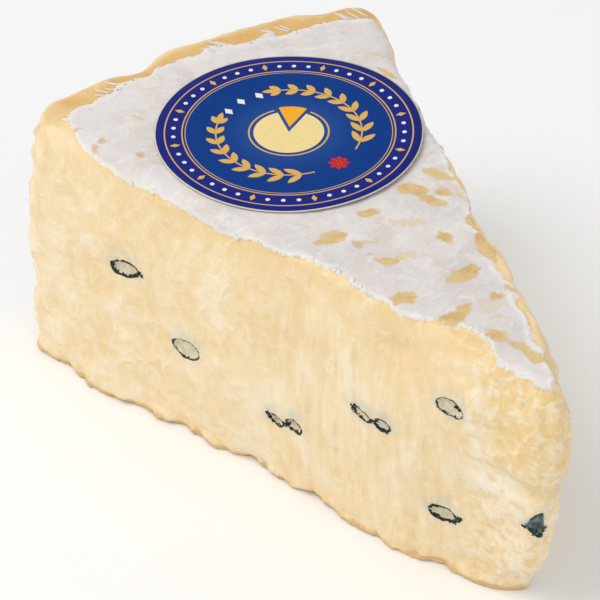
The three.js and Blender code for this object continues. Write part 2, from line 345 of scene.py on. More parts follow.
def cut_line(direction, normal, along, place):
    x = along * cos(direction)
    y = along * sin(direction)
    return np.stack([x, y, normal + 0 * along, place, along])


def outline():
    """Rows of x, y, normal angle, place among the stations and distance along the cut, round from the tip."""
    back_reach, back_turn, back_end = rim_corner(BACK_CORNER_RADIUS)
    front_reach, front_turn, front_end = rim_corner(FRONT_CORNER_RADIUS)
    rim_start = RIGHT_CUT + back_turn
    rim_end = LEFT_CUT - front_turn

    def steps(start, end, count):
        return np.linspace(start, end, count, endpoint=False)

    tip_reach = TIP_RADIUS / sin(HALF_ANGLE)
    back_along = steps(TIP_START, back_end, BACK_STEPS)
    front_along = steps(front_end, TIP_START, FRONT_STEPS)
    rim_angles = steps(rim_start, rim_end, RIM_STEPS)
    back_round = steps(BACK_NORMAL, rim_start, CORNER_STEPS)
    front_round = steps(rim_end, FRONT_NORMAL, CORNER_STEPS)
    tip_round = steps(FRONT_NORMAL, 2 * pi + BACK_NORMAL, TIP_STEPS)
    parts = [
        cut_line(RIGHT_CUT, BACK_NORMAL, back_along, steps(0.0, BACK_CORNER, BACK_STEPS)),
        arc(rim_start, back_reach, BACK_CORNER_RADIUS, back_round, BACK_CORNER),
        arc(0.0, 0.0, WHEEL_RADIUS, rim_angles, steps(BACK_CORNER, FRONT_CORNER, RIM_STEPS)),
        arc(rim_end, front_reach, FRONT_CORNER_RADIUS, front_round, FRONT_CORNER),
        cut_line(LEFT_CUT, FRONT_NORMAL, front_along, steps(FRONT_CORNER, STATION_COUNT, FRONT_STEPS)),
        arc(pi / 2, tip_reach, TIP_RADIUS, tip_round, 0.0),
    ]
    return np.concatenate(parts, axis=1)


def at_station(values, place):
    index = np.floor(place).astype(int) % STATION_COUNT
    following = (index + 1) % STATION_COUNT
    share = smooth(place % 1.0)
    return values[index] * (1.0 - share) + values[following] * share


def wander(place, along, on_back, on_front):
    total = np.zeros_like(place)
    share = (place % 2.0) / 2.0
    fade = smooth(share / WANDER_FADE) * smooth((1.0 - share) / WANDER_FADE)
    for (depth, still, wave), here in ((on_back, place < BACK_CORNER), (on_front, place > FRONT_CORNER)):
        total += here * (along > 0) * depth * fade * np.sin(2 * pi * (along - still) / wave)
    return total


def lumps(place, share):
    turn = 2 * pi * place / STATION_COUNT
    total = SCALLOP_DEPTH * np.sin(SCALLOP_COUNT * turn) * (1.0 - share) ** SCALLOP_POWER
    for around, up, depth, phase in LUMPS:
        total = total + depth * np.sin(around * turn + phase) * np.sin(up * pi * share + phase)
    return total


def swell(line, z):
    """How far the side stands out from its outline at a height."""
    x, y, _, place, along = line
    share = z / HEIGHT
    lifted = np.clip(share, 0.0, 1.0) ** at_station(LIFT, place)
    belly = at_station(BELLY, place) * np.clip(np.sin(pi * lifted), 0.0, 1.0) ** BELLY_POWER
    spread = at_station(FOOT, place) + wander(place, along, BACK_FOOT_WANDER, FRONT_FOOT_WANDER)
    foot = spread * (1.0 - share) ** FOOT_POWER
    on_rim = (place >= BACK_CORNER) & (place <= FRONT_CORNER)
    dent = -DENT_DEPTH * on_rim * bump(np.arctan2(y, x) - DENT_ANGLE, DENT_WIDTH)
    nick = -NICK_DEPTH * bump(z - NICK_UP, NICK_TALL) * bump(np.hypot(x, y), NICK_ALONG)
    cut = wander(place, along, BACK_WANDER, FRONT_WANDER)
    return belly + foot + cut + lumps(place, share) + dent + nick


def rind_wave(x, y):
    total = 0.0
    for rise, along_x, along_y, phase in RIND_WAVES:
        total = total + rise * np.sin(2 * pi * (x / along_x + y / along_y) + phase)
    return total


def worn_nose(x, y, z):
    """The tip set back near the base, more on the front cut's side."""
    nose = NOSE_SETBACK * (1.0 - (z / NOSE_HEIGHT) ** 2)
    askew = y + NOSE_SKEW * x
    return y + (nose - askew + np.hypot(askew - nose, NOSE_SOFTNESS)) / 2


def side_ring(line, z, inset):
    out = swell(line, z) - inset
    x = line[0] + np.cos(line[2]) * out
    y = line[1] + np.sin(line[2]) * out
    return np.stack([x, worn_nose(x, y, z), z + rind_wave(x, y) * z / HEIGHT], axis=-1)


def wedge_rings(line):
    """Rings of points from the middle of the base, up the side and over the top to the label's middle."""
    still = np.zeros_like(line[0])
    shoulder = at_station(SHOULDER, line[3])
    rings = []
    for turn in np.linspace(0, pi / 2, FOOT_STEPS, endpoint=False):
        height = FOOT_RADIUS * (1 - cos(turn))
        rings.append(side_ring(line, still + height, still + FOOT_RADIUS * (1 - sin(turn))))
    for share in np.linspace(0, 1, SIDE_STEPS, endpoint=False):
        rings.append(side_ring(line, FOOT_RADIUS + share * (HEIGHT - shoulder - FOOT_RADIUS), still))
    for turn in np.linspace(0, pi / 2, SHOULDER_STEPS + 1):
        height = HEIGHT - shoulder * (1 - sin(turn))
        rings.append(side_ring(line, height, shoulder * (1 - cos(turn))))
    base_edge = rings[0]
    top_edge = rings[-1]
    middle = np.array([0.0, LABEL_FROM_AXIS, 0.0])
    for share in np.linspace(1, 0, BASE_STEPS + 1)[1:-1]:
        rings.insert(0, base_edge + (1 - share) * (middle - base_edge))
    open_shares = np.linspace(0, UNDER_LABEL_SHARE, TOP_STEPS, endpoint=False)[1:]
    hidden_shares = np.linspace(UNDER_LABEL_SHARE, 1, UNDER_LABEL_STEPS, endpoint=False)
    for share in np.concatenate([open_shares, hidden_shares]):
        ring = top_edge + share * (middle - top_edge)
        ring[:, 2] = HEIGHT + rind_wave(ring[:, 0], ring[:, 1])
        rings.append(ring)
    return np.array(rings)


def closed_faces(rows, columns):
    """Faces of rings between a first and a last pole, which follow the rings in the list of vertices."""
    index = np.arange(rows * columns).reshape(rows, columns)
    across = np.roll(index, -1, axis=1)
    quads = np.stack([index[:-1], across[:-1], across[1:], index[1:]], axis=-1).reshape(-1, 4)
    first_pole = np.full(columns, rows * columns)
    first_fan = np.stack([first_pole, across[0], index[0]], axis=-1)
    last_fan = np.stack([index[-1], across[-1], first_pole + 1], axis=-1)
    return quads.tolist() + first_fan.tolist() + last_fan.tolist()


label_low, label_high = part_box("label")
AXIS_IN_FRAME = np.array([
    (label_low.x + label_high.x) / 2,
    (label_low.y + label_high.y) / 2 - LABEL_FROM_AXIS * MM,
    0.0,
])


def to_frame(points):
    return np.asarray(points) * MM + AXIS_IN_FRAME


def new_object(name, data):
    thing = bpy.data.objects.new(name, data)
    bpy.context.scene.collection.objects.link(thing)
    return thing


def new_piece(name, points, faces, material):
    mesh = bpy.data.meshes.new(name)
    mesh.from_pydata(to_frame(points).tolist(), [], faces)
    mesh.shade_smooth()
    mesh.materials.append(material)
    piece = new_object(name, mesh)
    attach(piece, "root")
    return piece


def add_values(mesh, name, values):
    mesh.attributes.new(name, "FLOAT", "POINT").data.foreach_set("value", values.astype(np.float32))


# Marks on the surface, all as distances in millimetres
def ellipse_distance(across, up, long, high, turn):
    """Distance outside an ellipse, below zero inside it."""
    a = across * cos(turn) + up * sin(turn)
    b = up * cos(turn) - across * sin(turn)
    scaled = np.hypot(2 * a / long, 2 * b / high)
    slope = np.hypot(4 * a / long**2, 4 * b / high**2)
    return scaled * (scaled - 1.0) / np.maximum(slope, 1e-6)


def polygon_distance(x, y, corners):
    """Distance outside a convex polygon whose corners run anticlockwise, below zero inside it."""
    distance = np.full_like(x, -np.inf)
    for (ax, ay), (bx, by) in zip(corners, corners[1:] + corners[:1]):
        length = hypot(bx - ax, by - ay)
        distance = np.maximum(distance, ((x - ax) * (by - ay) - (y - ay) * (bx - ax)) / length)
    return distance


class Marks:
    """Where the rind, its bare patches and the pockets are, for every vertex of the wedge."""

    def __init__(self, points, facing):
        self.points = points
        self.x, self.y, self.z = points.T
        self.drop = HEIGHT + rind_wave(self.x, self.y) - self.z
        self.reach = np.hypot(self.x, self.y)
        self.from_middle = np.degrees(np.arctan2(self.x, self.y))
        self.front_along, self.front_out = self.on_cut(LEFT_CUT, FRONT_NORMAL)
        self.back_along, self.back_out = self.on_cut(RIGHT_CUT, BACK_NORMAL)
        self.front_share = rises(facing @ [cos(FRONT_NORMAL), sin(FRONT_NORMAL)], *CUT_TURN)
        self.back_share = rises(facing @ [cos(BACK_NORMAL), sin(BACK_NORMAL)], *CUT_TURN)
        self.rim_share = rises(facing[:, 1], *RIM_TURN)
        self.rim_face = rises(facing[:, 1], *RIM_FACE_TURN)
        self.tip_share = rises(-facing[:, 1], *TIP_TURN)
        self.corner_share = rises(facing @ [cos(CORNER_FACING), sin(CORNER_FACING)], *CORNER_TURN)
        self.below_top = smooth(self.drop / 1.5)
        self.mark_rind()
        self.mark_patches()
        self.mark_paste()
        self.mark_pockets()

    def on_cut(self, direction, normal):
        along = self.x * cos(direction) + self.y * sin(direction)
        out = self.x * cos(normal) + self.y * sin(normal)
        return along, out

    def mark_rind(self):
        ragged = uneven(self.points, "rind edge")
        front_drop = self.drop * np.maximum(self.front_share, self.tip_share)
        back_drop = self.drop * np.maximum(self.back_share, self.tip_share)
        front = -self.front_out - front_drop - np.interp(self.front_along, *zip(*FRONT_RIND_EDGE))
        back = -self.back_out - back_drop - np.interp(self.back_along, *zip(*BACK_RIND_EDGE))
        rim_edge = RIM_RIND_RADIUS + uneven(self.points, "rim edge")
        rim = rim_edge - self.reach - self.drop * self.rim_share
        rim_low = self.drop - RIM_BAND_DROP + uneven(self.points, "rim band")
        rim = np.where(self.rim_share > 0.5, np.maximum(rim, rim_low), rim)
        foot = FOOT_RIND_HEIGHT * (1.0 + 0.9 * noise(self.points, 3.0, 23)) - self.z
        self.cut_rind = np.minimum(front, back) + ragged
        self.rind = np.maximum(np.minimum(self.cut_rind, rim), foot)
        rim_crust = smooth(0.5 + (self.cut_rind - rim) / 5.0) * (1.0 - 0.5 * self.corner_share)
        self.crust = np.maximum(rim_crust, smooth(1.0 + foot / 0.8))

    def mark_patches(self):
        shift_x = uneven(self.points, "patches across")
        shift_y = uneven(self.points, "patches away")
        self.bare = self.nearest(PATCHES, shift_x, shift_y)
        self.faint = self.nearest(FAINT_PATCHES, shift_x, shift_y)
        self.rusty = self.nearest(RUSTY_FLECKS, shift_x, shift_y)
        hidden = 2.2 - uneven(self.points, "hidden patches")
        under = rises(self.drop, 6.0, 3.0)
        self.bare = np.where(under > 0.5, hidden, self.bare)
        self.bare = np.minimum(self.bare, (self.z - 1.6) + 8.0 * (under < 0.5))
        self.faint = self.faint + 30.0 * under
        self.rusty = self.rusty + 30.0 * under

    def mark_paste(self):
        """Where the knife dragged the paste and where the tip crumbled."""
        self.along = np.where(self.front_share > self.back_share, self.front_along, self.back_along)
        self.drag = falls(self.along, *DRAG_TO) * rises(self.along, *DRAG_FROM) * falls(self.z, *DRAG_TOP)
        self.crumb = falls(self.along, *CRUMB_TO)
        self.pale = np.maximum(mound(self.along, self.z, *PALE_SPOT), mound(self.along, self.z, *PALE_STRIPE))

    def nearest(self, patches, shift_x, shift_y):
        distance = np.full_like(self.x, FAR)
        for x, y, long, wide, turn in patches:
            across = self.x - x + shift_x
            away = self.y - y + shift_y
            distance = np.minimum(distance, ellipse_distance(across, away, long, wide, radians(turn)))
        return distance

    def mark_pockets(self):
        self.hollow = np.full_like(self.x, FAR)
        self.ink = np.full_like(self.x, 0.2)
        self.stain = np.zeros_like(self.x)
        wobble = uneven(self.points, "pockets")
        cuts = (
            (self.front_along, self.front_share, FRONT_LOOPS),
            (self.back_along, self.back_share, BACK_LOOPS),
        )
        for along, share, loops in cuts:
            off = FAR * (share < 0.3)
            for place, up, long, high, rise, line in loops:
                across, above, turn = place - along, self.z - up, radians(rise)
                distance = ellipse_distance(across, above, long, high, turn) + wobble + off
                nearer = distance < self.hollow
                self.hollow = np.where(nearer, distance, self.hollow)
                self.ink = np.where(nearer, line, self.ink)
                halo = ellipse_distance(across, above - HALO_UP, long + HALO_LONGER, high + HALO_HIGHER, turn)
                self.stain = np.maximum(self.stain, bump(np.maximum(halo + off, 0.0), HALO_FADE))
        corners = [(-along, z) for along, z in TIP_POCKET]
        self.tip_pocket = polygon_distance(-self.front_along, self.z, corners)
        self.tip_pocket = self.tip_pocket + wobble + FAR * (self.front_share < 0.05)


def paste_relief(marks):
    """Curds, knife drag and the crumbly tip of the cut faces."""
    points = marks.points
    smears = 0.24 * (0.6 - np.abs(uneven(points, "smears"))) * (1.0 - 0.5 * marks.drag)
    drag = uneven(points, "drag") * marks.drag
    crumble = uneven(points, "crumble") * marks.crumb
    slices = mound(marks.along, marks.z, *RIDGE) + mound(marks.along, marks.z, *SCOOP)
    return uneven(points, "swells") + smears + drag + crumble + slices * marks.front_share


def pocket_relief(marks):
    loops = -POCKET_SINK * smooth(-marks.hollow / 0.7)
    tip = -TIP_POCKET_SINK * smooth(-marks.tip_pocket / 0.9)
    return loops + tip


def surface_relief(marks, paste):
    """How far every vertex stands off the plain wedge, in millimetres."""
    points = marks.points
    on_cut = np.maximum(marks.front_share, marks.back_share) * marks.below_top
    white = smooth(0.5 + marks.rind / 0.6)
    lip = LIP_HEIGHT * bump(marks.rind - 0.5, 0.5)
    step = -RIND_THICKNESS * (1.0 - white)
    clear_of_label = rises(np.hypot(marks.x, marks.y - LABEL_FROM_AXIS), LABEL_RADIUS - 3.0, 4.0)
    felt = uneven(points, "felt") * clear_of_label
    patch = -PATCH_DEPTH * white * smooth(0.5 - marks.bare / 0.8)
    crust = uneven(points, "crust") * marks.crust
    off_cut = marks.below_top * (1.0 - on_cut) * (1.0 - 0.75 * marks.rim_face)
    corner = uneven(points, "corner") * off_cut
    knobs = uneven(points, "knobs") * marks.corner_share * marks.below_top
    notch = sum(-NOTCH_DEPTH * bump(marks.back_along - place, NOTCH_WIDTH) for place in BACK_NOTCHES)
    notch = notch * marks.back_share * falls(marks.drop, 7.0, 5.0) * rises(marks.back_out, -4.0, 3.0)
    relief = lip + step + white * felt + patch + crust + corner + knobs + notch
    relief = relief + on_cut * (1.0 - white) * paste + pocket_relief(marks)
    nose = rises(marks.y, *NOSE_FADE)
    return relief * smooth(marks.z / (1.0 + 3.0 * (1.0 - nose)))


def ragged_foot(marks, facing):
    """Small steps of the foot's edge, level with the board."""
    depth = uneven(marks.points, "foot") * falls(marks.z, 3.5, 3.0) * rises(marks.y, *NOSE_FADE)
    return np.concatenate([facing * depth[:, None], np.zeros((len(depth), 1))], axis=1)


def make_cheese(material):
    line = outline()
    rings = wedge_rings(line)
    rows, columns = rings.shape[:2]
    base = [0.0, LABEL_FROM_AXIS, 0.0]
    crown = [0.0, LABEL_FROM_AXIS, HEIGHT + rind_wave(0.0, LABEL_FROM_AXIS)]
    points = np.concatenate([rings.reshape(-1, 3), [base, crown]])
    facing = np.stack([np.cos(line[2]), np.sin(line[2])], axis=-1)
    facing = np.concatenate([np.tile(facing, (rows, 1)), np.zeros((2, 2))])
    faces = closed_faces(rows, columns)
    piece = new_piece("cheese_wedge", points, faces, material)
    mesh = piece.data
    normals = np.empty(len(points) * 3, np.float32)
    mesh.vertices.foreach_get("normal", normals)
    marks = Marks(points, facing)
    paste = paste_relief(marks)
    relief = normals.reshape(-1, 3) * surface_relief(marks, paste)[:, None]
    points = points + relief + ragged_foot(marks, facing)
    mesh.vertices.foreach_set("co", to_frame(points).astype(np.float32).ravel())
    for name in MARK_NAMES:
        add_values(mesh, name, getattr(marks, name))
    add_values(mesh, "deep", paste_depth(marks))
    add_values(mesh, "curd", paste)
    mesh.update()
    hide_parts("cheese")
    return Skin(points, faces, marks)


class Skin:
    """The finished wedge, to lay small things on."""

    def __init__(self, points, faces, marks):
        self.points = points
        self.marks = marks
        self.tree = BVHTree.FromPolygons(points.tolist(), faces)

    def hit(self, start, direction):
        place, normal, _, _ = self.tree.ray_cast(Vector(start), Vector(direction))
        if place is None:
            place, normal, _, _ = self.tree.find_nearest(Vector(start))
        return np.array(place), np.array(normal)

    def from_above(self, x, y):
        return self.hit((x, y, HEIGHT + 20.0), (0.0, 0.0, -1.0))

    def on_cut(self, direction, normal, along, up):
        away = np.array([cos(normal), sin(normal), 0.0])
        start = along * np.array([cos(direction), sin(direction), 0.0]) + 20.0 * away
        return self.hit(start + [0.0, 0.0, up], -away)


def paste_depth(marks):
    """How yellow the paste is: under the rind, above the foot and towards the tip."""
    under_rind = 0.9 * np.exp(-np.maximum(-marks.cut_rind, 0.0) / 7.0)
    foot = 0.5 * np.exp(-marks.z / 3.0)
    tip = 0.8 * falls(marks.along, 15, 9) * rises(marks.z, 22, 8)
    return np.clip(under_rind + foot + tip, 0.0, 1.0)


# Materials
def colour(red, green, blue):
    """A linear colour from red, green and blue as a screen shows them, 0 to 255."""
    shares = [value / 255 for value in (red, green, blue)]
    linear = [s / 12.92 if s <= 0.04045 else ((s + 0.055) / 1.055) ** 2.4 for s in shares]
    return (*linear, 1.0)


class Shader:
    """Adds nodes to one material. A value may be a number, a colour or another node's output."""

    MIX_FIRST = 6
    MIX_SECOND = 7
    MIX_RESULT = 2

    def __init__(self, name):
        self.material = bpy.data.materials.new(name)
        self.material.use_nodes = True
        self.tree = self.material.node_tree
        self.surface = self.tree.nodes["Principled BSDF"]
        self.place = self.tree.nodes.new("ShaderNodeTexCoord").outputs["Object"]

    def put(self, socket, value):
        if isinstance(value, bpy.types.NodeSocket):
            self.tree.links.new(value, socket)
        else:
            socket.default_value = value

    def set(self, **values):
        for name, value in values.items():
            self.put(self.surface.inputs[name.replace("_", " ")], value)

    def values(self, name):
        node = self.tree.nodes.new("ShaderNodeAttribute")
        node.attribute_name = name
        return node.outputs["Fac"]

    def math(self, operation, first, second=0.0):
        node = self.tree.nodes.new("ShaderNodeMath")
        node.operation = operation
        self.put(node.inputs[0], first)
        self.put(node.inputs[1], second)
        return node.outputs[0]

    def times(self, first, second):
        return self.math("MULTIPLY", first, second)

    def scaled(self, value, share, middle=0.0):
        return self.times(self.math("SUBTRACT", value, middle), share)

    def total(self, *values):
        result = values[0]
        for value in values[1:]:
            result = self.math("ADD", result, value)
        return result

    def between(self, share, first, second):
        return self.total(first, self.times(share, self.math("SUBTRACT", second, first)))

    def ramp(self, value, low, high, to_low=0.0, to_high=1.0):
        node = self.tree.nodes.new("ShaderNodeMapRange")
        node.interpolation_type = "SMOOTHSTEP"
        settings = {"Value": value, "From Min": low, "From Max": high, "To Min": to_low, "To Max": to_high}
        for name, setting in settings.items():
            self.put(node.inputs[name], setting)
        return node.outputs["Result"]

    def noise(self, size, detail=3.0, stretch=None, distortion=0.0):
        place = self.place
        if stretch is not None:
            mapping = self.tree.nodes.new("ShaderNodeMapping")
            mapping.inputs["Scale"].default_value = [1.0 / value for value in stretch]
            self.tree.links.new(place, mapping.inputs["Vector"])
            place = mapping.outputs["Vector"]
        node = self.tree.nodes.new("ShaderNodeTexNoise")
        self.tree.links.new(place, node.inputs["Vector"])
        node.inputs["Scale"].default_value = 1.0 / (size * MM)
        node.inputs["Detail"].default_value = detail
        node.inputs["Distortion"].default_value = distortion
        return node.outputs["Fac"]

    def blend(self, share, first, second):
        node = self.tree.nodes.new("ShaderNodeMix")
        node.data_type = "RGBA"
        self.put(node.inputs["Factor"], share)
        self.put(node.inputs[self.MIX_FIRST], first)
        self.put(node.inputs[self.MIX_SECOND], second)
        return node.outputs[self.MIX_RESULT]

    def bump(self, height, depth):
        node = self.tree.nodes.new("ShaderNodeBump")
        node.inputs["Strength"].default_value = 1.0
        node.inputs["Distance"].default_value = depth * MM
        self.tree.links.new(height, node.inputs["Height"])
        self.tree.links.new(node.outputs["Normal"], self.surface.inputs["Normal"])


PASTE_WHITE = colour(249, 240, 219)
PASTE_LIGHT = colour(247, 231, 199)
PASTE = colour(243, 220, 177)
PASTE_DARK = colour(239, 212, 163)
PASTE_YELLOW = colour(237, 207, 149)
PASTE_FLECK = colour(231, 192, 120)
RIND = colour(224, 218, 215)
RIND_BRIGHT = colour(236, 232, 229)
RIND_GREY = colour(214, 207, 203)
PATCH = colour(220, 192, 142)
PATCH_DARK = colour(211, 178, 120)
PATCH_RUST = colour(208, 168, 118)
CRUST_PALE = colour(240, 214, 162)
CRUST = colour(229, 190, 124)
CRUST_DARK = colour(222, 176, 106)
POCKET_FILL = colour(208, 201, 176)
POCKET_PALE = colour(232, 217, 182)
POCKET_STAIN = colour(204, 204, 188)
POCKET_INK = colour(34, 44, 36)
MOULD_BLUE = colour(62, 80, 78)
TIP_BLUE = colour(122, 140, 148)


def paste_colour(look):
    """Colour and height of the paste: soft curds, upright knife streaks and grains at the tip, with painted
    light and shade from its relief and painted highlights along its folds.
    """
    crumb = look.values("crumb")
    mottle = look.noise(8.0, 4.0, distortion=0.8)
    curds = look.noise(3.2, 5.0, distortion=0.9)
    streaks = look.noise(1.6, 4.0, stretch=(1.0, 1.0, 6.0), distortion=0.7)
    grain = look.noise(1.7, 4.0, distortion=0.5)
    texture = look.between(look.values("drag"), curds, streaks)
    texture = look.between(crumb, texture, grain)
    # Painted light and shade: the paste is made lighter where its relief (curd) stands up and darker where it
    # sinks. Mottle and texture are its own tone.
    light = look.total(
        look.scaled(mottle, 0.45), look.scaled(texture, 0.5), look.scaled(look.values("curd"), 0.25))
    base = look.blend(look.ramp(light, 0.36, 0.49), PASTE_DARK, PASTE)
    base = look.blend(look.ramp(light, 0.48, 0.64), base, PASTE_LIGHT)
    deep = look.times(look.values("deep"), look.ramp(mottle, 0.3, 0.6, 0.6, 1.0))
    base = look.blend(deep, base, PASTE_YELLOW)
    # Painted highlights: pale lines along the folds and creases of the paste stand in for their lit ridges.
    # The same lines raise the bump a little.
    contour = look.noise(6.0, 2.0, stretch=(1.0, 1.0, 1.6), distortion=1.6)
    contour = look.math("ABSOLUTE", look.math("SUBTRACT", contour, 0.5))
    highlit_crease = look.times(look.ramp(contour, 0.016, 0.0), look.ramp(curds, 0.46, 0.56))
    highlit_fold = look.times(look.ramp(contour, 0.09, 0.0), look.ramp(curds, 0.36, 0.56))
    base = look.blend(look.scaled(highlit_fold, 0.35), base, PASTE_LIGHT)
    base = look.blend(look.scaled(highlit_crease, 0.38), base, PASTE_WHITE)
    pale = look.times(look.values("pale"), look.ramp(mottle, 0.3, 0.6, 0.35, 0.9))
    base = look.blend(pale, base, PASTE_WHITE)
    curd = look.times(crumb, look.ramp(grain, 0.5, 0.68, 0.0, 0.5))
    base = look.blend(curd, base, PASTE_WHITE)
    yellow = look.times(crumb, look.ramp(grain, 0.46, 0.32, 0.0, 0.45))
    base = look.blend(yellow, base, PASTE_FLECK)
    speck = look.ramp(look.noise(0.9, 3.0), 0.34, 0.27)
    speck = look.times(speck, look.ramp(mottle, 0.5, 0.62, 0.1, 0.7))
    height = look.total(texture, look.scaled(highlit_fold, 0.09), look.scaled(highlit_crease, 0.06))
    return look.blend(speck, base, PASTE_FLECK), height


def rind_colour(look, rind):
    """Colour and height of the bloomy rind, with a painted highlight along its torn edge."""
    cloud = look.noise(11.0, 4.0, distortion=0.8)
    strokes = look.noise(2.0, 5.0, stretch=(1.5, 1.0, 1.0), distortion=1.2)
    felt = look.noise(1.1, 4.0)
    warm = look.noise(5.0, 4.0, distortion=1.0)
    base = look.blend(look.ramp(cloud, 0.36, 0.62), RIND_GREY, RIND)
    base = look.blend(look.ramp(strokes, 0.46, 0.7, 0.0, 0.5), base, RIND_BRIGHT)
    base = look.blend(look.ramp(warm, 0.56, 0.72, 0.0, 0.25), base, PATCH)
    # Painted highlight: the rind is made brighter along its torn edge (the lip), as if lit there.
    lip = look.ramp(rind, 1.8, 0.2, 0.0, 0.75)
    height = look.total(look.scaled(strokes, 0.6), look.scaled(felt, 0.4))
    return look.blend(lip, base, RIND_BRIGHT), height


def with_patches(look, base):
    fuzz = look.noise(1.2, 5.0)
    bare = look.total(look.values("bare"), look.scaled(fuzz, 2.4, 0.5))
    faint = look.total(look.values("faint"), look.scaled(fuzz, 5.0, 0.5))
    rusty = look.total(look.values("rusty"), look.scaled(fuzz, 2.4, 0.5))
    tone = look.blend(look.ramp(look.noise(2.4, 3.0), 0.42, 0.66), PATCH, PATCH_DARK)
    base = look.blend(look.ramp(faint, 0.5, -0.7, 0.0, 0.5), base, PATCH)
    base = look.blend(look.ramp(bare, 0.25, -0.35), base, tone)
    return look.blend(look.ramp(rusty, 0.3, -0.4, 0.0, 0.7), base, PATCH_RUST)


def crust_colour(look, rind):
    cloud = look.noise(8.0, 3.0)
    deep = look.blend(look.ramp(cloud, 0.34, 0.7), CRUST, CRUST_DARK)
    away = look.total(rind, look.scaled(cloud, 4.0, 0.5))
    return look.blend(look.ramp(away, -2.0, -6.0), deep, CRUST_PALE)


def with_pockets(look, base):
    ragged = look.scaled(look.noise(0.8, 4.0), 0.9, 0.5)
    hollow = look.total(look.values("hollow"), ragged)
    tip = look.total(look.values("tip_pocket"), ragged)
    patchy = look.ramp(look.noise(2.2, 3.0), 0.3, 0.7, 0.1, 0.7)
    base = look.blend(look.times(look.values("stain"), patchy), base, POCKET_STAIN)
    fill = look.blend(look.ramp(look.noise(1.2, 3.0), 0.4, 0.62), POCKET_FILL, POCKET_PALE)
    base = look.blend(look.ramp(hollow, 0.1, -0.3), base, fill)
    base = look.blend(look.ramp(tip, 1.4, 0.0, 0.0, 0.5), base, POCKET_STAIN)
    blue = look.blend(look.ramp(look.noise(1.5, 3.0), 0.42, 0.66), TIP_BLUE, MOULD_BLUE)
    base = look.blend(look.ramp(tip, 0.1, -0.15), base, blue)
    thickness = look.noise(1.6, 2.0)
    brim_width = look.ramp(thickness, 0.4, 0.6, 0.0, 0.3)
    brim = look.math("SUBTRACT", look.math("ABSOLUTE", tip), brim_width)
    base = look.blend(look.ramp(brim, 0.1, -0.1), base, POCKET_INK)
    line_width = look.times(look.values("ink"), look.ramp(thickness, 0.34, 0.64, 0.25, 1.15))
    line = look.math("SUBTRACT", look.math("ABSOLUTE", hollow), line_width)
    return look.blend(look.ramp(line, 0.12, -0.08), base, POCKET_INK)


def cheese_material():
    look = Shader("cheese_paste_and_rind")
    paste, paste_height = paste_colour(look)
    rind = look.values("rind")
    white, rind_height = rind_colour(look, rind)
    white = with_patches(look, white)
    skin = look.blend(look.values("crust"), paste, crust_colour(look, rind))
    fuzz = look.scaled(look.noise(1.0, 5.0), 2.8, 0.5)
    cover = look.ramp(look.total(rind, fuzz), -0.1, 0.12)
    base = with_pockets(look, look.blend(cover, skin, white))
    height = look.between(cover, look.scaled(paste_height, 0.85), look.scaled(rind_height, 0.75))
    look.bump(height, 0.45)
    look.set(Base_Color=base, Roughness=look.ramp(cover, 0.0, 1.0, 0.48, 0.9))
    look.set(Subsurface_Weight=0.15, Subsurface_Radius=(1.0, 0.6, 0.3), Subsurface_Scale=0.0015)
    look.set(Specular_IOR_Level=0.3)
    return look.material


def mould_material():
    look = Shader("blue_mould")
    cloud = look.noise(0.7, 3.0)
    tint = look.blend(look.ramp(cloud, 0.5, 0.72), POCKET_INK, MOULD_BLUE)
    look.set(Base_Color=tint, Roughness=look.ramp(cloud, 0.3, 0.7, 0.6, 0.9), Specular_IOR_Level=0.2)
    return look.material


def flake_material():
    look = Shader("rind_flakes")
    cloud = look.noise(0.9, 3.0)
    tint = look.blend(look.ramp(cloud, 0.35, 0.65), RIND, RIND_BRIGHT)
    look.bump(cloud, 0.05)
    look.set(Base_Color=tint, Roughness=look.ramp(cloud, 0.3, 0.7, 0.8, 0.95), Specular_IOR_Level=0.2)
    return look.material


# Small things that lie on the wedge
def ball():
    """Points and faces of a small ball of radius 1."""
    shape = bmesh.new()
    bmesh.ops.create_icosphere(shape, subdivisions=2, radius=1.0)
    points = np.array([vertex.co for vertex in shape.verts])
    faces = np.array([[vertex.index for vertex in face.verts] for face in shape.faces])
    shape.free()
    return points, faces


def tangents(normal):
    """Two directions across a normal."""
    helper = np.array([0.0, 0.0, 1.0]) if abs(normal[2]) < 0.9 else np.array([1.0, 0.0, 0.0])
    first = np.cross(helper, normal)
    first = first / np.linalg.norm(first)
    return first, np.cross(normal, first)


class Joined:
    """Many small closed shapes in one mesh."""

    def __init__(self):
        self.points = []
        self.faces = []

    def add(self, points, faces):
        start = len(self.points)
        self.points.extend(np.asarray(points).tolist())
        self.faces.extend([[start + corner for corner in face] for face in faces])


class Scatter(Joined):
    """Crumbs and slivers that lie on the wedge."""

    def __init__(self, seed):
        super().__init__()
        self.random = np.random.default_rng(seed)
        self.ball_points, self.ball_faces = ball()

    def lump(self, place, normal, radius, flatness):
        """An uneven crumb, half sunk in the surface."""
        first, second = tangents(normal)
        spread = self.random.uniform(0.7, 1.3, 2)
        rough = self.random.uniform(0.72, 1.2, (len(self.ball_points), 1))
        shape = self.ball_points * rough * [radius * spread[0], radius * spread[1], radius * flatness]
        self.add(place + shape @ np.array([first, second, normal]), self.ball_faces.tolist())

    def sliver(self, places, normals, widths, thickness):
        """A thin strip that tapers along a path on the surface."""
        along = np.gradient(places, axis=0)
        across = np.cross(normals, along)
        across = across / np.linalg.norm(across, axis=1, keepdims=True)
        half = np.asarray(widths)[:, None] / 2
        lift = normals * thickness
        section = [places - across * half, places - lift, places + across * half, places + lift]
        rings = np.stack(section, axis=1)[1:-1]
        points = np.concatenate([rings.reshape(-1, 3), places[:1], places[-1:]])
        self.add(points, closed_faces(*rings.shape[:2]))

    def piece(self, name, material, slot):
        return new_piece(name, self.points, self.faces, material)


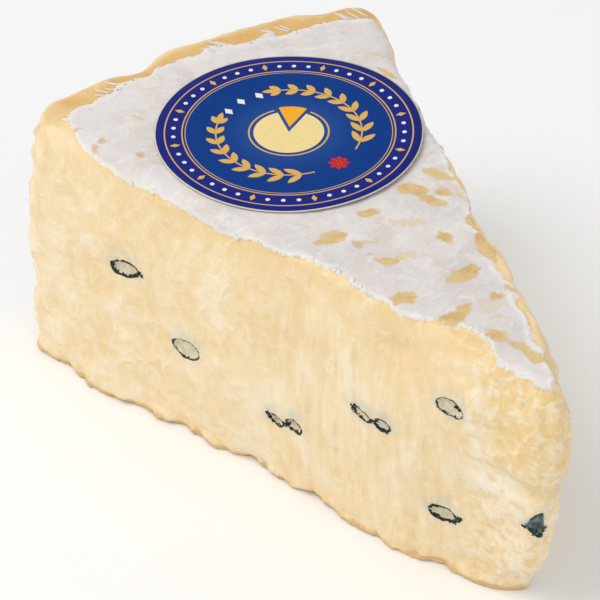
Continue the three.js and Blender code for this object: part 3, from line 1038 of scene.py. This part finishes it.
def make_mould(skin, material):
    """Dark crumbs of mould along the rings of the pockets and in knots beside them."""
    mould = Scatter(101)
    draw = mould.random
    cuts = (
        (LEFT_CUT, FRONT_NORMAL, FRONT_LOOPS, FRONT_KNOTS),
        (RIGHT_CUT, BACK_NORMAL, BACK_LOOPS, BACK_KNOTS),
    )
    for direction, normal, loops, knots in cuts:
        for along, up, long, high, rise, line in loops:
            tilt = radians(rise)
            count = int(MOULD_PER_MM * (long + high))
            for turn in np.linspace(0, 2 * pi, count, endpoint=False):
                size = line * draw.uniform(0.35, 1.0)
                wide = long / 2 * cos(turn) + draw.normal(0.0, MOULD_STRAY)
                tall = high / 2 * sin(turn) + draw.normal(0.0, MOULD_STRAY)
                if draw.random() < MOULD_GAPS:
                    continue
                towards = wide * cos(tilt) - tall * sin(tilt)
                lift = wide * sin(tilt) + tall * cos(tilt)
                place, out = skin.on_cut(direction, normal, along - towards, up + lift)
                mould.lump(place, out, size, 0.5)
        for along, up, radius in knots:
            for _ in range(KNOT_CRUMBS):
                stray = draw.normal(0.0, radius * 0.6, 2)
                place, out = skin.on_cut(direction, normal, along + stray[0], up + stray[1])
                mould.lump(place, out, radius * draw.uniform(0.25, 0.6), 0.6)
    mould.piece("blue_mould", material, "cheese")


def make_flakes(skin, material):
    """Feathery strips of rind across the bare rim, and flat bits along the rind's torn edge."""
    flakes = Scatter(211)
    draw = flakes.random
    for middle in FLAKE_ANGLES:
        for step in range(FLAKES_IN_GROUP):
            start = radians(middle + (step - FLAKES_IN_GROUP / 2) * FLAKE_STEP + draw.normal(0.0, 0.08))
            inner = draw.uniform(*FLAKE_START)
            outer = inner + draw.uniform(*FLAKE_LENGTH)
            lean = radians(draw.uniform(*FLAKE_LEAN))
            share = np.linspace(0, 1, 9)
            reach = inner + (outer - inner) * share
            angle = start + lean * (1 - share) ** 1.3
            hits = [skin.from_above(r * sin(a), r * cos(a)) for r, a in zip(reach, angle)]
            places = np.array([place for place, _ in hits])
            normals = np.array([normal for _, normal in hits])
            widths = draw.uniform(*FLAKE_WIDTH) * np.sin(pi * (0.12 + 0.88 * share)) ** 0.7
            flakes.sliver(places + 0.03 * normals, normals, widths, FLAKE_THICKNESS)
    marks = skin.marks
    torn = (marks.rind > 0.05) & (marks.rind < 0.55) & (marks.drop < 5.0) & (marks.bare > 1.5)
    for index in draw.choice(np.flatnonzero(torn), EDGE_FLAKES, replace=False):
        place, normal, _, _ = skin.tree.find_nearest(Vector(skin.points[index]))
        flakes.lump(np.array(place), np.array(normal), draw.uniform(*EDGE_FLAKE_RADIUS), EDGE_FLAKE_FLATNESS)
    flakes.piece("rind_flakes", material, "cheese")


# The label's paper and print, about its own middle
def label_height(x, y):
    """Height of the label's underside, curled up a little towards the back cut."""
    turn = np.arctan2(y, x) - LABEL_CURL_TOWARDS
    reach = np.hypot(x, y) / LABEL_RADIUS
    curl = LABEL_CURL * rises(reach, 0.7, 0.3) * smooth(np.cos(turn))
    return HEIGHT + rind_wave(x, y + LABEL_FROM_AXIS) + LABEL_UNDERSIDE + curl


def on_label(x, y, lift):
    return np.stack([x, y + LABEL_FROM_AXIS, label_height(x, y) + lift], axis=-1)


def make_label(material):
    angles = np.linspace(0, 2 * pi, LABEL_SIDES, endpoint=False)
    shares = np.linspace(0, 1, LABEL_RINGS + 1)[1:]

    def ring(share, lift):
        reach = share * LABEL_RADIUS
        return on_label(reach * np.cos(angles), reach * np.sin(angles), lift)

    under = [ring(share, 0.0) for share in shares]
    over = [ring(share, LABEL_THICKNESS) for share in shares[::-1]]
    rings = np.array(under + over)
    middle = np.zeros(1)
    poles = [on_label(middle, middle, 0.0), on_label(middle, middle, LABEL_THICKNESS)]
    points = np.concatenate([rings.reshape(-1, 3), *poles])
    piece = new_piece("label_paper", points, closed_faces(*rings.shape[:2]), material)
    reach = np.hypot(points[:, 0], points[:, 1] - LABEL_FROM_AXIS) / LABEL_RADIUS
    add_values(piece.data, "reach", reach)
    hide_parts("label")


LABEL_CREAM = colour(226, 214, 190)
LABEL_NAVY = colour(24, 38, 122)
LABEL_BLUE = colour(8, 56, 130)
LABEL_GLOW = colour(50, 92, 158)
LABEL_GOLD = colour(218, 174, 92)
LABEL_PALE_GOLD = colour(238, 214, 150)
LABEL_WHITE = colour(232, 230, 226)
LABEL_RED = colour(196, 44, 48)
LABEL_ORANGE = colour(242, 172, 46)
FIELD_EDGE = 0.783
PAPER_EDGE = 0.991
GOLD_RINGS = ((0.925, 0.005), (0.795, 0.005), (0.772, 0.003))


def label_material():
    look = Shader("label_print_fields")
    reach = look.values("reach")
    grain = look.noise(1.2, 3.0)
    field = look.blend(look.ramp(reach, 0.62, 0.0, 0.0, 0.75), LABEL_BLUE, LABEL_GLOW)
    base = look.blend(look.ramp(reach, FIELD_EDGE - 0.004, FIELD_EDGE + 0.004), field, LABEL_NAVY)
    for place, half in GOLD_RINGS:
        away = look.math("ABSOLUTE", look.math("SUBTRACT", reach, place))
        base = look.blend(look.ramp(away, half + 0.002, half - 0.002), base, LABEL_GOLD)
    base = look.blend(look.ramp(reach, PAPER_EDGE - 0.002, PAPER_EDGE + 0.002), base, LABEL_CREAM)
    base = look.blend(look.ramp(grain, 0.5, 0.8, 0.0, 0.1), base, LABEL_GLOW)
    look.bump(grain, 0.02)
    look.set(Base_Color=base, Roughness=look.ramp(grain, 0.3, 0.7, 0.45, 0.55), Specular_IOR_Level=0.06)
    return look.material


def print_material(name, shade):
    look = Shader(name)
    grain = look.noise(0.8, 3.0)
    worn = look.ramp(grain, 0.55, 0.85, 0.0, 0.2)
    look.set(Base_Color=look.blend(worn, shade, LABEL_NAVY))
    look.set(Roughness=look.ramp(grain, 0.3, 0.7, 0.45, 0.55), Specular_IOR_Level=0.06)
    return look.material


INKS = {
    "gold": LABEL_GOLD,
    "white": LABEL_WHITE,
    "red": LABEL_RED,
    "orange": LABEL_ORANGE,
    "pale_gold": LABEL_PALE_GOLD,
}
GOLD, WHITE, RED, ORANGE, PALE_GOLD = range(len(INKS))


class Print(Joined):
    """Flat shapes printed on the label, each a thin closed plate that follows the paper."""

    SINK = -0.02
    RISE = 0.025

    def __init__(self):
        super().__init__()
        self.inks = []

    def stamp(self, rings, first, last, ink):
        faces = closed_faces(*np.shape(rings)[:2])
        self.add(np.concatenate([np.reshape(rings, (-1, 3)), [first, last]]), faces)
        self.inks.extend([ink] * len(faces))

    def place(self, shape, lift):
        shape = np.atleast_2d(shape) @ turned(LABEL_TURN)
        return on_label(shape[:, 0], shape[:, 1], LABEL_THICKNESS + lift)

    def plate(self, shape, ink):
        """A shape whose corners all face its middle, as an outline that runs anticlockwise."""
        middle = np.mean(shape, axis=0)
        rings = [self.place(shape, lift) for lift in (self.SINK, self.RISE)]
        self.stamp(rings, self.place(middle, self.SINK)[0], self.place(middle, self.RISE)[0], ink)

    def ribbon(self, path, width, ink):
        """A line of even width along a path."""
        path = np.asarray(path)
        along = np.gradient(path, axis=0)
        across = np.stack([-along[:, 1], along[:, 0]], axis=-1)
        across = across / np.linalg.norm(across, axis=1, keepdims=True) * width / 2
        corners = [(path + across, self.SINK), (path - across, self.SINK)]
        corners += [(path - across, self.RISE), (path + across, self.RISE)]
        rings = np.stack([self.place(*corner) for corner in corners], axis=1)
        self.stamp(rings, rings[0].mean(axis=0), rings[-1].mean(axis=0), ink)


def turned(angle):
    """Turns rows of points anticlockwise."""
    return np.array([[cos(angle), sin(angle)], [-sin(angle), cos(angle)]])


def circle(x, y, radius, start=0.0, end=2 * pi, steps=16):
    angles = np.linspace(start, end, steps, endpoint=end - start < 2 * pi)
    return np.stack([x + radius * np.cos(angles), y + radius * np.sin(angles)], axis=-1)


def leaf(x, y, long, wide, turn):
    """A leaf with pointed ends, from its stalk at x, y."""
    share = np.linspace(0, 1, 8)
    half = wide / 2 * np.sin(pi * share) ** 0.8
    lower = np.stack([long * share, -half], axis=-1)
    upper = np.stack([long * share, half], axis=-1)[::-1][1:-1]
    return np.concatenate([lower, upper]) @ turned(turn) + [x, y]


def lozenge(x, y, long, wide, turn):
    corners = np.array([[long / 2, 0], [0, wide / 2], [-long / 2, 0], [0, -wide / 2]])
    return corners @ turned(turn) + [x, y]


def print_band(ink):
    """Dots and lozenges round the label's outer band."""
    for step in range(BAND_MARKS):
        angle = 2 * pi * step / BAND_MARKS
        x, y = BAND_REACH * cos(angle), BAND_REACH * sin(angle)
        if step % 4 == 0:
            ink.plate(lozenge(x, y, 1.9, 1.0, angle), GOLD)
        else:
            ink.plate(circle(x, y, 0.4), WHITE)


def print_sprig(ink, side):
    """A leafy sprig that curves up one side of the label."""
    reach = SPRIG_REACH
    angles = np.linspace(radians(-68), radians(56), 40)
    x = side * reach * np.cos(angles)
    y = reach * np.sin(angles)
    path = np.stack([x, y], axis=-1)
    ink.ribbon(path if side > 0 else path[::-1], 0.28, GOLD)
    for step, angle in enumerate(np.linspace(radians(-58), radians(54), 9)):
        stem = np.array([side * reach * cos(angle), reach * sin(angle)])
        forward = angle + pi / 2
        size = 3.6 - 0.14 * step
        for lean in (-0.62, 0.62):
            turn = forward + lean if side > 0 else pi - forward - lean
            ink.plate(leaf(*stem, size, 1.25, turn), GOLD)
    tip = np.array([side * reach * cos(angles[-1]), reach * sin(angles[-1])])
    ink.plate(leaf(*tip, 3.0, 1.1, angles[-1] + pi / 2 if side > 0 else pi / 2 - angles[-1]), GOLD)


def print_wheel(ink):
    """A round cheese seen from above, with one slice drawn out."""
    slice_start, slice_end = radians(18), radians(66)
    middle = 0.5 * (slice_start + slice_end)
    body = circle(0.0, 0.0, 6.2, slice_end, slice_start + 2 * pi, 48)
    ink.plate(np.concatenate([body, [[0.0, 0.0]]]), PALE_GOLD)
    drawn = 1.5 * np.array([cos(middle), sin(middle)])
    piece = circle(drawn[0], drawn[1], 6.2, slice_start, slice_end, 12)
    ink.plate(np.concatenate([piece, [drawn]]), ORANGE)
    ink.ribbon(circle(0.0, 0.0, 7.0, slice_end + 0.06, slice_start - 0.06 + 2 * pi, 64), 0.3, GOLD)


def make_print():
    ink = Print()
    print_band(ink)
    print_wheel(ink)
    for side in (-1, 1):
        print_sprig(ink, side)
    for step in range(ROSETTE_PETALS):
        ink.plate(leaf(0.0, -SPRIG_REACH, 1.9, 1.1, 2 * pi * step / ROSETTE_PETALS), RED)
    ink.plate(circle(0.0, -SPRIG_REACH, 0.6), ORANGE)
    for x, y in ((-3.6, 11.8), (0.0, 12.6), (3.6, 11.8)):
        ink.plate(lozenge(x, y, 1.5, 2.2, 0.0), WHITE)
    materials = [print_material(f"label_ink_{name}", shade) for name, shade in INKS.items()]
    piece = new_piece("label_print", ink.points, ink.faces, materials[0])
    for material in materials[1:]:
        piece.data.materials.append(material)
    piece.data.polygons.foreach_set("material_index", ink.inks)
    piece.data.shade_flat()
    piece.data.update()


# Stage, light and camera
def make_floor():
    mesh = bpy.data.meshes.new("floor")
    corners = [(FLOOR_HALF * x, FLOOR_HALF * y, 0) for x, y in ((-1, -1), (1, -1), (1, 1), (-1, 1))]
    mesh.from_pydata(corners, [], [(0, 1, 2, 3)])
    look = Shader("floor_white")
    tint = look.blend(look.noise(400.0, 2.0), colour(250, 250, 250), colour(246, 246, 247))
    look.set(Base_Color=tint, Roughness=0.7, Specular_IOR_Level=0.2)
    mesh.materials.append(look.material)
    floor = new_object("floor", mesh)


def aim(thing, target):
    thing.rotation_mode = "QUATERNION"
    thing.rotation_quaternion = (target - thing.location).to_track_quat("-Z", "Y")


def make_light(name, place, size, power):
    data = bpy.data.lights.new(name, "AREA")
    data.shape = "DISK"
    data.size = size
    data.energy = power
    light = new_object(name, data)
    light.location = place
    aim(light, Vector(LIGHT_TARGET))


def make_lights():
    make_light("key_light", *KEY_LIGHT)
    make_light("fill_light", *FILL_LIGHT)
    world = bpy.data.worlds.new("studio")
    world.use_nodes = True
    sky = world.node_tree.nodes["Background"]
    sky.inputs["Color"].default_value = (1.0, 1.0, 1.0, 1.0)
    sky.inputs["Strength"].default_value = SKY_STRENGTH
    bpy.context.scene.world = world


def make_camera():
    data = bpy.data.cameras.new("camera")
    data.lens = CAMERA_LENS
    data.sensor_width = CAMERA_SENSOR
    camera = new_object("camera", data)
    target = Vector(to_frame(CAMERA_TARGET))
    back = Vector((
        sin(CAMERA_AZIMUTH) * cos(CAMERA_ELEVATION),
        -cos(CAMERA_AZIMUTH) * cos(CAMERA_ELEVATION),
        sin(CAMERA_ELEVATION),
    ))
    camera.location = target + back * CAMERA_DISTANCE * MM
    aim(camera, target)
    bpy.context.scene.camera = camera


skin = make_cheese(cheese_material())
make_mould(skin, mould_material())
make_flakes(skin, flake_material())
make_label(label_material())
make_print()
make_floor()
make_lights()
make_camera()
bpy.context.scene.view_settings.view_transform = "Standard"
